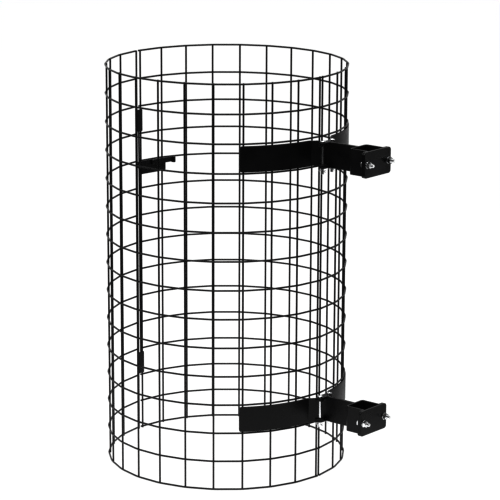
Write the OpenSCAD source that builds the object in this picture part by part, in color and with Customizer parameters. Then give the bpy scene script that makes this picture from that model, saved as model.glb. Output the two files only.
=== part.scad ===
// Welded-mesh tree guard tube: two half shells hinged on a pair of stake brackets.
// Origin: on the tube's axis, at ground level. +Z is up the tube, +X points from the
// tube out along the bracket arms, through the hinge seam. The closing seam is at -X.
// The right shell is at +Y and the left one at -Y. All sizes are in millimetres.

/* [Mesh tube] */
// Radius from the tube's axis to the middle of a hoop wire
hoop_r = 210; // [190:1:240]
// Thickness of every mesh wire
wire_d = 3; // [2.6:0.2:3.4]
// Height from one hoop to the next
pitch = 50; // [50:1:52]
// Number of hoops up the tube
hoops = 15; // [13:1:18]
// Number of mesh cells round one half shell
cells = 13; // [10:1:15]
// Middle to middle of the two seam wires on the hinge side
hinge_gap = 6.8; // [6:0.2:9]
// Middle to middle of the two seam wires on the closing side
close_gap = 10; // [9:0.5:12]

/* [Bands] */
// Height of the flat band on each half shell
band_h = 44; // [40:0.5:44.5]
// Thickness of the bands, lugs and saddle sheet
sheet_t = 3; // [2.5:0.5:3]
// How far round the tube each band reaches from the hinge seam, in degrees
band_reach = 43.7; // [32:0.5:60]
// Bevel on the corners at the far end of each band
band_bevel = 2.5; // [1:0.5:8]

/* [Brackets] */
// Height of the lower bracket's middle above the third hoop from the ground
lower_lift = 25.5; // [23.5:0.5:27.5]
// Height of the upper bracket's middle above the fourth hoop from the top
upper_lift = 20.5; // [20.5:0.5:27.5]
// Overall height of the arm, lugs, saddle and clamp plate
bracket_h = 44; // [43:0.5:46]
// Thickness of the arm plate
arm_t = 5; // [4:0.5:6]
// Distance from the tube's axis to the saddle's back face
saddle_x = 285.5; // [280:0.5:320]
// Width between the saddle's walls, for the stake
stake_w = 40; // [38:1:40]
// Depth of the saddle from its inner back face to the clamp plate
saddle_depth = 35.5; // [32:0.5:40]
// Thickness of the clamp plate
clamp_t = 4; // [3:0.5:5]
// Width of the clamp plate and of the saddle across its flanges
clamp_w = 71; // [71:1:80]

/* [Pins and bolts] */
// Distance of each hinge pin from the bracket's centre line
pin_y = 12.5; // [12:0.1:13.5]
// Distance of the hinge pins outside the hoop wire's middle
pin_out = 12; // [11.5:0.1:14]
// Diameter of the hinge pins
pin_d = 5; // [4:0.5:6]
// Distance of each clamp bolt from the bracket's centre line
bolt_y = 28.4; // [28.2:0.1:29.5]
// Length of the clamp bolts under the head
bolt_len = 20; // [18:0.5:26]

/* [Latch] */
// How far the lever's pivot is below the fifth hoop from the top
latch_drop = 4; // [1.5:0.5:7.5]
// Height of the lever bar
lever_h = 9; // [8:0.5:9]
// Length of the lever's tail from its pivot
lever_len = 46.5; // [46:0.1:49.3]

/* [Hidden] */
$fn = 96;
wire_fn = 32;    // facets of round wires
overlap = 0.01;  // run of one solid into the next within a piece
cut = 1;         // run of a cutter past the faces it cuts
weld = 0.25;     // depth to which welded pieces run into each other
run = 0.06;      // radial running clearance of pivots and threads

black = [0.06, 0.06, 0.065];
zinc = [0.78, 0.79, 0.8];

// Mesh
wire_r = wire_d / 2;
upright_r = hoop_r - wire_d + weld;  // the uprights stand inside the hoops
upright_h = (hoops - 1) * pitch + wire_d;
hinge_half_angle = asin(hinge_gap / 2 / upright_r);
close_half_angle = asin(close_gap / 2 / upright_r);
shell_angle = 180 - hinge_half_angle - close_half_angle;
cell_angle = shell_angle / cells;
hoop_lap = wire_r / hoop_r * 180 / PI;  // hoops end level with the seam uprights' sides

// Heights. Hoops are numbered from 0 at the ground.
lower_hoop = 2;
upper_hoop = hoops - 4;
function hoop_z(k) = wire_r + k * pitch;
lower_bracket_z = hoop_z(lower_hoop) + lower_lift;
upper_bracket_z = hoop_z(upper_hoop) + upper_lift;
latch_z = hoop_z(hoops - 5) - latch_drop;

// Hinge, with ear heights measured from the bracket's middle
half_h = bracket_h / 2;
pin_x = hoop_r + pin_out;
pin_r = pin_d / 2;
ear_r = pin_r + 4;
ear_gap = 0.3;  // end play between an ear and its lug
lug_in = half_h - sheet_t;
ear_hi = lug_in - ear_gap;
ear_lo = ear_hi - sheet_t;

// ---------- general shapes ----------

module along_x() { rotate([0, 90, 0]) children(); }

// Cutter for a round hole through a plate from z = 0 to z = depth
module hole(r, depth) {
  translate([0, 0, -cut]) cylinder(r = r, h = depth + 2 * cut);
}

// A plate in the YZ plane with rounded corners, from x to x + thickness
module yz_plate(x, thickness, y0, y1, z0, z1, corner) {
  translate([x, y0 + corner, z0]) cube([thickness, y1 - y0 - 2 * corner, z1 - z0]);
  translate([x, y0, z0 + corner]) cube([thickness, y1 - y0, z1 - z0 - 2 * corner]);
  for (y = [y0 + corner, y1 - corner], z = [z0 + corner, z1 - corner])
    translate([x, y, z]) along_x() cylinder(r = corner, h = thickness);
}

// Cutter that rounds one corner of a plate whose face looks along X
module corner_cut(length, y_side, z_side, r) {
  difference() {
    translate([0, y_side > 0 ? -r : -cut, z_side > 0 ? -r : -cut])
      cube([length, r + cut, r + cut]);
    translate([0, -y_side * r, -z_side * r]) along_x() hole(r, length);
  }
}

// ---------- half shells, drawn for +Y and mirrored for -Y ----------

module hoop_wires() {
  for (k = [0 : hoops - 1])
    translate([0, 0, hoop_z(k)])
      rotate([0, 0, hinge_half_angle - hoop_lap])
        rotate_extrude(angle = shell_angle + 2 * hoop_lap)
          translate([hoop_r, 0]) circle(r = wire_r, $fn = wire_fn);
}

module upright_wires() {
  for (i = [0 : cells])
    rotate([0, 0, hinge_half_angle + i * cell_angle])
      translate([upright_r, 0, 0]) cylinder(r = wire_r, h = upright_h, $fn = wire_fn);
}

// The bands lie against the outside of the uprights, between two hoops
band_ri = upright_r + wire_r - weld;
band_rm = band_ri + sheet_t / 2;
band_start = 7.5;     // angle where the band bends out to its hinge ears
band_rise = 2.5;      // bottom of the band above the middle of the hoop below
bevel_over = 3;       // run of the bevel cutters past each face of the band
bevel_size = 20;      // width and height of the bevel cutters
bend_swell = 0.2;     // extra radius of the bend over half the sheet
bend_inset = 0.3;     // bend and tongue stop short of the band's top and bottom edges
tongue_inset = 0.7;
tongue_clear = 0.9;   // from the tongue's end to the ears' rim
nose_lap = 0.5;       // run of the narrow nose back into the tongue
nose_clear = 0.6;     // from the nose's end to the pin
ear_tab_w = 10;
ear_tab_out = 1.15;   // reach of an ear's tab past its rim

// The tongue runs from the end of the band's curve towards the pin
bend_x = band_rm * cos(band_start);
bend_y = band_rm * sin(band_start);
tongue_run = sqrt(pow(pin_x - bend_x, 2) + pow(pin_y - bend_y, 2));
tongue_angle = atan2(pin_y - bend_y, pin_x - bend_x);

// The curved strip, bevelled at its far corners, then the straight tongue out between two
// hoops. Between the ears its nose reaches almost to the pin.
module band(hoop, bracket_z) {
  z0 = hoop_z(hoop) + band_rise;
  tongue_end = tongue_run - ear_r - tongue_clear;
  nose_start = tongue_end - nose_lap;
  nose_half_h = ear_lo + weld;
  difference() {
    translate([0, 0, z0]) rotate([0, 0, band_start])
      rotate_extrude(angle = band_reach - band_start)
        translate([band_ri, 0]) square([sheet_t, band_h]);
    rotate([0, 0, band_reach]) for (side = [-1, 1])
      translate([band_ri - bevel_over, 0, side > 0 ? z0 + band_h : z0])
        rotate([side * 45, 0, 0])
          translate([0, -band_bevel / sqrt(2), -bevel_size / 2])
            cube([sheet_t + 2 * bevel_over, bevel_size, bevel_size]);
  }
  translate([bend_x, bend_y, z0 + bend_inset])
    cylinder(r = sheet_t / 2 + bend_swell, h = band_h - 2 * bend_inset);
  translate([bend_x, bend_y, 0]) rotate([0, 0, tongue_angle]) {
    translate([0, -sheet_t / 2, z0 + tongue_inset])
      cube([tongue_end, sheet_t, band_h - 2 * tongue_inset]);
    translate([nose_start, -sheet_t / 2, bracket_z - nose_half_h])
      cube([tongue_run - pin_r - nose_clear - nose_start, sheet_t, 2 * nose_half_h]);
  }
}

// Two flat ears, top and bottom, drilled for the hinge pin and welded to the band's end
module ears(bracket_z) {
  for (ear_z = [-ear_hi, ear_lo])
    translate([pin_x, pin_y, bracket_z + ear_z])
      difference() {
        union() {
          cylinder(r = ear_r, h = sheet_t);
          rotate([0, 0, tongue_angle + 180]) translate([0, -ear_tab_w / 2, 0])
            cube([ear_r + ear_tab_out, ear_tab_w, sheet_t]);
        }
        hole(pin_r + run, sheet_t);
      }
}

module left() { color(black) mirror([0, 1, 0]) children(); }

module left_hoop_wires() { left() hoop_wires(); }
module left_upright_wires() { left() upright_wires(); }
module left_band_upper() { left() band(upper_hoop, upper_bracket_z); }
module left_band_lower() { left() band(lower_hoop, lower_bracket_z); }
module left_ears_upper() { left() ears(upper_bracket_z); }
module left_ears_lower() { left() ears(lower_bracket_z); }
module right_hoop_wires() { color(black) hoop_wires(); }
module right_upright_wires() { color(black) upright_wires(); }
module right_band_upper() { color(black) band(upper_hoop, upper_bracket_z); }
module right_band_lower() { color(black) band(lower_hoop, lower_bracket_z); }
module right_ears_upper() { color(black) ears(upper_bracket_z); }
module right_ears_lower() { color(black) ears(lower_bracket_z); }

// ---------- closing seam ----------

seam_x = -upright_r * cos(close_half_angle);  // middle of the seam uprights
seam_y = close_gap / 2;
strip_t = 1.5;
strip_h = 40;
strip_rise = 5;   // bottom of a strip above the middle of the hoop below
strip_gap = 0.3;  // between the strip and the seam uprights
tab_w = 3;
tab_reach = 0.8;  // from the upright's side into the strip
rod_inset = 1;    // from the rod's ends to the strips' outer ends
rod_y = 0.2;

// Flat strip welded by a tab to the right seam upright. It laps inside the left one.
module seam_strip(hoop) {
  z0 = hoop_z(hoop) + strip_rise;
  color(black) {
    translate([seam_x + wire_r + strip_gap, -seam_y - wire_r, z0])
      cube([strip_t, 2 * (seam_y + wire_r), strip_h]);
    translate([seam_x + wire_r - weld, seam_y - tab_w / 2, z0])
      cube([weld + tab_reach, tab_w, strip_h]);
  }
}
module seam_strip_upper() { seam_strip(upper_hoop); }
module seam_strip_lower() { seam_strip(lower_hoop); }

// Rod in the gap between the seam uprights, welded to both strips
module seam_rod() {
  z0 = hoop_z(lower_hoop) + strip_rise + rod_inset;
  z1 = hoop_z(upper_hoop) + strip_rise + strip_h - rod_inset;
  color(black) translate([seam_x + strip_gap + weld, rod_y, z0])
    cylinder(r = wire_r, h = z1 - z0, $fn = wire_fn);
}

// ---------- latch, across the last cell of the right shell ----------

latch_angle = 180 - close_half_angle - cell_angle / 2;  // middle of that cell
half_chord = upright_r * sin(cell_angle / 2);
latch_t = 3;      // thickness of the plate and the lever
plate_ro = upright_r * cos(cell_angle / 2) - wire_r + weld;
plate_ri = plate_ro - latch_t;
lever_gap = 0.6;  // from the lever to the plate and to the keeper's wall and lip
lever_ro = plate_ri - lever_gap;
lever_ri = lever_ro - latch_t;
rivet_r = 2;
rivet_hole_r = rivet_r + 0.5;  // in the plate

// In the latch frame X is outwards and Y runs towards the closing seam
module latch_frame() {
  color(black) rotate([0, 0, latch_angle]) translate([0, 0, latch_z]) children();
}

module latch_plate() {
  latch_frame() difference() {
    yz_plate(x = plate_ri, thickness = latch_t, y0 = -half_chord - 5, y1 = half_chord + 2.5,
             z0 = -19.5, z1 = 4.5, corner = 1.5);
    translate([plate_ri, 0, 0]) along_x() hole(rivet_hole_r, latch_t);
  }
}

module latch_rivet() {
  head_x = lever_ri - 0.1;
  head_t = 1.6;
  collar_t = 0.4;
  // Start along X, radius, length
  steps = [
    [head_x - head_t, 3.8, head_t],                                // inner head
    [head_x - overlap, rivet_r, plate_ri - head_x + 2 * overlap],  // shank
    [plate_ri - collar_t, 3.6, collar_t],                          // collar inside the plate
    [plate_ri - overlap, rivet_hole_r + 0.05, latch_t + 2 * overlap],  // filling of the hole
    [plate_ro, 3.4, 1.2]                                           // outer head
  ];
  latch_frame() along_x()
    for (step = steps) translate([0, 0, step[0]]) cylinder(r = step[1], h = step[2]);
}

// Lever bar. At rest its tail points away from the seam; it swings over the top.
module latch_lever() {
  tip_reach = 6;  // inward reach of the bent tip at the tail's end
  tip_drop = 1.5;
  latch_frame() difference() {
    union() {
      translate([lever_ri, -lever_len, -lever_h / 2]) cube([latch_t, lever_len, lever_h]);
      translate([lever_ri, 0, 0]) along_x() cylinder(r = lever_h / 2, h = latch_t);
      translate([lever_ri - tip_reach, -lever_len, -lever_h / 2 - tip_drop])
        cube([latch_t + tip_reach, latch_t, lever_h + tip_drop]);
    }
    translate([lever_ri, 0, 0]) along_x() hole(rivet_r + run, latch_t);
  }
}

// Open hook on the left seam upright. The lever drops into it when the tube is shut.
module latch_keeper() {
  width = 5;
  wall_h = 11.6;
  floor_t = 2.4;
  floor_gap = 0.7;  // below the lever
  lip_t = 2;
  lip_h = 8.6;
  upright_angle = cell_angle / 2 + 2 * close_half_angle;
  wall_x = lever_ro + lever_gap;
  lip_x = lever_ri - lever_gap - lip_t;
  weld_x = upright_r * cos(upright_angle) - wire_r + weld;
  latch_frame()
    translate([0, upright_r * sin(upright_angle) - width / 2, -lever_h / 2 - floor_gap - floor_t]) {
      translate([wall_x, 0, 0]) cube([weld_x - wall_x, width, wall_h]);
      translate([lip_x, 0, 0]) cube([weld_x - lip_x, width, floor_t]);
      translate([lip_x, 0, 0]) cube([lip_t, width, lip_h]);
    }
}

// ---------- stake brackets, each placed by the height z of its middle ----------

arm_x0 = hoop_r + wire_r + 3;   // inner end of the arm
lug_x1 = pin_x + ear_r + 0.5;   // the arm is at full height from here outwards
wall_y = stake_w / 2 + sheet_t;
flange_x = saddle_x + sheet_t + saddle_depth;  // front face of the saddle's flanges
flange_back = flange_x - sheet_t;
plate_x = flange_x + clamp_t;
corner_r = 5;    // corners of the flanges and the clamp plate
bend_r = 5;      // outside of the saddle's bends
bolt_r = 3;
bolt_hole_r = bolt_r + 0.3;
bolt_chamfer = 0.8;
bolt_head_t = 4;
hex_r = 10 / 2 / cos(30);  // 10 across flats
washer_t = 1.6;
washer_r = 6;
nut_t = 5;
split_drop = 5;  // split pins below the lugs

module at_pins(z) {
  for (y = [-pin_y, pin_y]) translate([pin_x, y, z]) children();
}

module at_bolts(x, z) {
  for (side = [-1, 1]) translate([x, side * bolt_y, z]) along_x() children();
}

module arm(z) {
  color(black) {
    translate([lug_x1, -arm_t / 2, z - half_h])
      cube([saddle_x + weld - lug_x1, arm_t, bracket_h]);
    translate([arm_x0, -arm_t / 2, z - lug_in - weld])
      cube([lug_x1 + overlap - arm_x0, arm_t, 2 * (lug_in + weld)]);
  }
}
module upper_arm() { arm(upper_bracket_z); }
module lower_arm() { arm(lower_bracket_z); }

// Top and bottom lug plates across the arm's end, drilled for both hinge pins
module lugs(z) {
  color(black) for (lug_z = [z - half_h, z + lug_in]) difference() {
    union() {
      translate([pin_x - ear_r, -pin_y, lug_z]) cube([2 * ear_r, 2 * pin_y, sheet_t]);
      at_pins(lug_z) cylinder(r = ear_r, h = sheet_t);
    }
    at_pins(lug_z) hole(pin_r + run, sheet_t);
  }
}
module upper_lugs() { lugs(upper_bracket_z); }
module lower_lugs() { lugs(lower_bracket_z); }

// Hat-section saddle: the stake stands in it, and the flanges carry the bolts
module saddle(z) {
  z0 = z - half_h;
  bend_cut = bend_r + cut;
  color(black) difference() {
    union() {
      // back wall
      translate([saddle_x, -wall_y + bend_r, z0])
        cube([sheet_t, 2 * (wall_y - bend_r), bracket_h]);
      for (side = [-1, 1]) {
        // rounded bend
        translate([saddle_x + bend_r, side * (wall_y - bend_r), z0]) intersection() {
          difference() {
            cylinder(r = bend_r, h = bracket_h);
            hole(bend_r - sheet_t, bracket_h);
          }
          translate([-bend_cut, side > 0 ? 0 : -bend_cut, -cut])
            cube([bend_cut, bend_cut, bracket_h + 2 * cut]);
        }
        // side wall
        translate([saddle_x + bend_r, side > 0 ? wall_y - sheet_t : -wall_y, z0])
          cube([flange_x - saddle_x - bend_r, sheet_t, bracket_h]);
        // flange
        translate([flange_back, side > 0 ? wall_y - overlap : -clamp_w / 2, z0])
          cube([sheet_t, clamp_w / 2 - wall_y + overlap, bracket_h]);
      }
    }
    at_bolts(flange_back, z) hole(bolt_hole_r, sheet_t);
    for (y_side = [-1, 1], z_side = [-1, 1])
      translate([flange_back - cut, y_side * clamp_w / 2, z + z_side * half_h])
        corner_cut(sheet_t + 2 * cut, y_side, z_side, corner_r);
  }
}
module upper_saddle() { saddle(upper_bracket_z); }
module lower_saddle() { saddle(lower_bracket_z); }

// Headed pins, cross drilled at the foot for the split pins
module hinge_pins(z) {
  foot = 10.5;  // length below the lugs
  head_r = 4.5;
  head_h = 1.8;
  color(zinc) at_pins(z) difference() {
    union() {
      translate([0, 0, -half_h - foot]) cylinder(r = pin_r, h = bracket_h + foot + overlap);
      translate([0, 0, half_h]) cylinder(r = head_r, h = head_h);
      translate([0, 0, half_h + head_h - overlap]) cylinder(r1 = head_r, r2 = 2.4, h = 1.4);
    }
    translate([-pin_r, 0, -half_h - split_drop]) along_x() hole(1.1, pin_d);
  }
}
module upper_hinge_pins() { hinge_pins(upper_bracket_z); }
module lower_hinge_pins() { hinge_pins(lower_bracket_z); }

// Split pins through the feet of the hinge pins, each a straight leg with a ring at its -X end
module split_pins(z) {
  leg_start = -pin_r - 2.2;
  ring_x = -pin_r - 3.6;
  color(zinc) at_pins(z - half_h - split_drop) {
    translate([leg_start, 0, 0]) along_x() cylinder(r = 0.9, h = pin_d + 6.5, $fn = wire_fn);
    translate([ring_x, 0, 0]) rotate([90, 0, 0])
      rotate_extrude() translate([1.7, 0]) circle(r = 0.7, $fn = wire_fn);
  }
}
module upper_split_pins() { split_pins(upper_bracket_z); }
module lower_split_pins() { split_pins(lower_bracket_z); }

module clamp_bolts(z) {
  shank = bolt_len - bolt_chamfer;
  color(zinc) at_bolts(flange_back, z) {
    translate([0, 0, -bolt_head_t]) cylinder(r = hex_r, h = bolt_head_t, $fn = 6);
    translate([0, 0, -overlap]) cylinder(r = bolt_r, h = shank + overlap);
    translate([0, 0, shank - overlap])
      cylinder(r1 = bolt_r, r2 = bolt_r - bolt_chamfer, h = bolt_chamfer);
  }
}
module upper_clamp_bolts() { clamp_bolts(upper_bracket_z); }
module lower_clamp_bolts() { clamp_bolts(lower_bracket_z); }

module clamp_plate(z) {
  color(black) difference() {
    yz_plate(x = flange_x, thickness = clamp_t, y0 = -clamp_w / 2, y1 = clamp_w / 2,
             z0 = z - half_h, z1 = z + half_h, corner = corner_r);
    at_bolts(flange_x, z) hole(bolt_hole_r, clamp_t);
  }
}
module upper_clamp_plate() { clamp_plate(upper_bracket_z); }
module lower_clamp_plate() { clamp_plate(lower_bracket_z); }

module clamp_washers(z) {
  color(zinc) at_bolts(plate_x, z) difference() {
    cylinder(r = washer_r, h = washer_t);
    hole(bolt_r + 0.2, washer_t);
  }
}
module upper_clamp_washers() { clamp_washers(upper_bracket_z); }
module lower_clamp_washers() { clamp_washers(lower_bracket_z); }

module clamp_nuts(z) {
  color(zinc) at_bolts(plate_x, z) difference() {
    translate([0, 0, washer_t]) cylinder(r = hex_r, h = nut_t, $fn = 6);
    cylinder(r = bolt_r + run, h = 12);
  }
}
module upper_clamp_nuts() { clamp_nuts(upper_bracket_z); }
module lower_clamp_nuts() { clamp_nuts(lower_bracket_z); }

left_hoop_wires();
left_upright_wires();
left_band_upper();
left_band_lower();
left_ears_upper();
left_ears_lower();
latch_keeper();
right_hoop_wires();
right_upright_wires();
right_band_upper();
right_band_lower();
right_ears_upper();
right_ears_lower();
seam_strip_upper();
seam_strip_lower();
seam_rod();
latch_plate();
latch_rivet();
latch_lever();
upper_arm();
lower_arm();
upper_lugs();
lower_lugs();
upper_saddle();
lower_saddle();
upper_hinge_pins();
lower_hinge_pins();
upper_split_pins();
lower_split_pins();
upper_clamp_bolts();
lower_clamp_bolts();
upper_clamp_plate();
lower_clamp_plate();
upper_clamp_washers();
lower_clamp_washers();
upper_clamp_nuts();
lower_clamp_nuts();
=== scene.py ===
"""A round cage of coated wire in two half shells, with the brackets that hold it to a stake.

The cage's axis is Z and its foot is at z = 0. The right shell lies at +Y and the left at -Y.
They hinge on two brackets at +X and close at a seam with a latch at -X.
Lengths are millimetres; meshes are written in metres.
"""
import bpy
import math
import numpy as np
from mathutils import Vector, Matrix
from mathutils.geometry import delaunay_2d_cdt


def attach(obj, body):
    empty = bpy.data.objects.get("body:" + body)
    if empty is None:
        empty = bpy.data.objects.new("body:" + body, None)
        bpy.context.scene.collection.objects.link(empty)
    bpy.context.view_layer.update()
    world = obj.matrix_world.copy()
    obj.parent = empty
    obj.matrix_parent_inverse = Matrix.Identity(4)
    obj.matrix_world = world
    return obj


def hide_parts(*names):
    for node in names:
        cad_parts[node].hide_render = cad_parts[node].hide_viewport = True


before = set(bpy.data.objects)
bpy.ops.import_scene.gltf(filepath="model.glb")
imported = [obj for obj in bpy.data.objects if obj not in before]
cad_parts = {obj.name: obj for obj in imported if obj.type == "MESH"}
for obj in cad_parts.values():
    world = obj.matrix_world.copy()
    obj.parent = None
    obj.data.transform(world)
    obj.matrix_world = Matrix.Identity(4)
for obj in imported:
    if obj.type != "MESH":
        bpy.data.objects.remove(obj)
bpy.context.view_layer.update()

MM = 0.001
PI = math.pi


# ------------------------------------------------------------------ shared sizes

hoop_r = 210.0              # at the hoop's bends, where the uprights stand
wire_r = 1.5
hoop_pitch = 50.0
hoop_count = 15
cell_count = 13             # between the uprights of one shell
weld = 0.25                 # how far welded wires sink into each other
upright_r = hoop_r - 2 * wire_r + weld
top_z = (hoop_count - 1) * hoop_pitch + 2 * wire_r
hinge_angle = math.degrees(math.asin(3.4 / upright_r))   # first upright, from +X
seam_angle = math.degrees(math.asin(5.0 / upright_r))    # last upright, from -X
cell_angle = (180 - hinge_angle - seam_angle) / cell_count

sheet_t = 3.0
band_inner_r = upright_r + wire_r - weld
band_outer_r = band_inner_r + sheet_t
band_r = (band_outer_r + band_inner_r) / 2

pin_x, pin_y, pin_r = 222.0, 12.5, 2.5
pin_play = 0.06
ear_r = 6.5                 # round end of the ears and lugs
bracket_half_h = 22.0
bracket_z = {"upper": 572.0, "lower": 127.0}
band_hoop = {"upper": hoop_count - 4, "lower": 2}        # the hoop just under each band


def hoop_z(k):
    return wire_r + k * hoop_pitch


def upright_angle(i):
    return hinge_angle + i * cell_angle


def polar(r, angle, z=0.0):
    return np.array([r * math.cos(math.radians(angle)), r * math.sin(math.radians(angle)), z])


# ------------------------------------------------------------------ mesh kit

class Shape:
    """Closed shells gathered into one mesh. Every add() is one closed shell."""

    def __init__(self):
        self.verts, self.faces = [], []

    def add(self, verts, faces):
        """Adds a shell, turning its faces outwards by the sign of its volume."""
        verts = [tuple(float(c) for c in p) for p in verts]
        pts = np.array(verts)
        volume = 0.0
        for f in faces:
            for i in range(1, len(f) - 1):
                volume += np.dot(pts[f[0]], np.cross(pts[f[i]], pts[f[i + 1]]))
        base = len(self.verts)
        self.verts.extend(verts)
        for f in faces:
            face = tuple(i + base for i in f)
            self.faces.append(face if volume > 0 else face[::-1])
        return self

    def mirrored(self):
        """A copy mirrored in y."""
        copy = Shape()
        copy.verts = [(x, -y, z) for x, y, z in self.verts]
        copy.faces = [f[::-1] for f in self.faces]
        return copy


def loft(shape, rings, loop=False):
    """Joins rings of equal size. An open run is closed by a fan at each end."""
    n, m = len(rings[0]), len(rings)
    verts = [tuple(p) for ring in rings for p in ring]
    faces = []
    for j in range(m if loop else m - 1):
        a, b = j * n, ((j + 1) % m) * n
        for k in range(n):
            k2 = (k + 1) % n
            faces.append((a + k, a + k2, b + k2, b + k))
    if not loop:
        for ring, base, turned in ((rings[0], 0, True), (rings[-1], (m - 1) * n, False)):
            mid = len(verts)
            verts.append(tuple(np.mean(np.array(ring), axis=0)))
            for k in range(n):
                k2 = (k + 1) % n
                faces.append((base + k2, base + k, mid) if turned else (base + k, base + k2, mid))
    return shape.add(verts, faces)


def unit(v):
    v = np.array(v, float)
    return v / np.linalg.norm(v)


def tube(shape, path, radius, seg=12, up=(0, 0, 1), cap=0.35, flat=1.0):
    """A wire along path with ends rounded by cap. radius is one number or one per point.
    up must never lie along the path. flat scales the section along up."""
    p = np.array(path, float)
    step = np.diff(p, axis=0)
    step /= np.linalg.norm(step, axis=1)[:, None]
    tangent = np.vstack([step[:1], step[:-1] + step[1:], step[-1:]])
    tangent /= np.linalg.norm(tangent, axis=1)[:, None]
    up = np.array(up, float)
    radii = np.ones(len(p)) * radius

    def end_station(i, inward, angle):
        a = math.radians(angle)
        centre = p[i] + inward * tangent[i] * cap * (1 - math.sin(a))
        return centre, tangent[i], radii[i] - cap + cap * math.cos(a)

    stations = [end_station(0, 1, angle) for angle in (90, 60, 30)]
    stations.append((p[0] + tangent[0] * cap, tangent[0], radii[0]))
    for i in range(1, len(p) - 1):
        stations.append((p[i], tangent[i], radii[i]))
    stations.append((p[-1] - tangent[-1] * cap, tangent[-1], radii[-1]))
    stations += [end_station(-1, -1, angle) for angle in (30, 60, 90)]

    rings = []
    for centre, along, r in stations:
        normal = unit(up - np.dot(up, along) * along)
        side = np.cross(along, normal)
        ring = []
        for k in range(seg):
            a = 2 * PI * k / seg
            ring.append(centre + r * (flat * math.cos(a) * normal + math.sin(a) * side))
        rings.append(ring)
    return loft(shape, rings)


# Columns are the lathe's own axes; the first is the one it turns about.
ALONG_X = np.eye(3)
ALONG_Z = np.array([[0, 0, 1], [0, 1, 0], [-1, 0, 0]], float).T


def lathe(shape, profile, at, basis, seg, loop=False):
    """profile: (distance along the axis, radius)."""
    at = np.array(at, float)
    rings = []
    for x, r in profile:
        rings.append([at + basis @ np.array([x, r * math.cos(2 * PI * k / seg),
                                             r * math.sin(2 * PI * k / seg)])
                      for k in range(seg)])
    return loft(shape, rings, loop)


def shifted(profile, start):
    return [(start + x, r) for x, r in profile]


def arc(cx, cy, r, a0, a1, n):
    """Points of an arc, angles in degrees, ends included."""
    angles = [math.radians(a0 + (a1 - a0) * i / n) for i in range(n + 1)]
    return [(cx + r * math.cos(a), cy + r * math.sin(a)) for a in angles]


def quarter(cx, cy, r, q0, q1, n=6):
    """An arc between two directions counted in quarter turns."""
    a0, a1 = q0 * PI / 2, q1 * PI / 2
    angles = [a0 + (a1 - a0) * i / n for i in range(n + 1)]
    return [(cx + r * math.cos(a), cy + r * math.sin(a)) for a in angles]


def circle(cx, cy, r, n=32):
    return [(cx + r * math.cos(2 * PI * k / n), cy + r * math.sin(2 * PI * k / n))
            for k in range(n)]


def fillet(a, b, c, r, n):
    """The arc of radius r that rounds corner b between a and c."""
    u, v = unit(a - b), unit(c - b)
    half = math.acos(max(-1, min(1, float(np.dot(u, v))))) / 2
    reach = r / math.tan(half)
    centre = b + unit(u + v) * (r / math.sin(half))
    p0, p1 = b + u * reach, b + v * reach
    a0 = math.atan2(*(p0 - centre)[::-1])
    a1 = math.atan2(*(p1 - centre)[::-1])
    while a1 - a0 > PI:
        a1 -= 2 * PI
    while a1 - a0 < -PI:
        a1 += 2 * PI
    angles = [a0 + (a1 - a0) * k / n for k in range(n + 1)]
    return [centre + r * np.array([math.cos(q), math.sin(q)]) for q in angles]


def clean(loop, tol=1e-4):
    """Drops repeated points from a closed loop."""
    out = []
    for p in loop:
        if not out or math.hypot(p[0] - out[-1][0], p[1] - out[-1][1]) > tol:
            out.append((float(p[0]), float(p[1])))
    if math.hypot(out[0][0] - out[-1][0], out[0][1] - out[-1][1]) <= tol:
        out.pop()
    return out


def rounded(points, radii, n=5):
    """A closed polygon with its corners rounded to one radius, or each to its own."""
    pts = [np.array(p, float) for p in points]
    if not hasattr(radii, "__len__"):
        radii = [radii] * len(pts)
    out = []
    for i, r in enumerate(radii):
        out += fillet(pts[i - 1], pts[i], pts[(i + 1) % len(pts)], r, n)
    return clean(out)


def area(loop):
    return 0.5 * sum(a[0] * b[1] - b[0] * a[1] for a, b in zip(loop, loop[1:] + loop[:1]))


def offset(loop, d):
    """Moves a counter-clockwise loop inwards by d, a clockwise one outwards from its hole."""
    out, n = [], len(loop)
    for i in range(n):
        a, b, c = loop[i - 1], loop[i], loop[(i + 1) % n]
        e1, e2 = unit((b[0] - a[0], b[1] - a[1])), unit((c[0] - b[0], c[1] - b[1]))
        n1, n2 = np.array([-e1[1], e1[0]]), np.array([-e2[1], e2[0]])
        mitre = n1 + n2
        mitre = mitre / max(np.dot(mitre, n1), 0.3)
        out.append((b[0] + d * mitre[0], b[1] + d * mitre[1]))
    return out


def inside(p, loop):
    hit = False
    for a, b in zip(loop, loop[1:] + loop[:1]):
        if (a[1] > p[1]) != (b[1] > p[1]):
            if p[0] < (b[0] - a[0]) * (p[1] - a[1]) / (b[1] - a[1]) + a[0]:
                hit = not hit
    return hit


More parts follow.
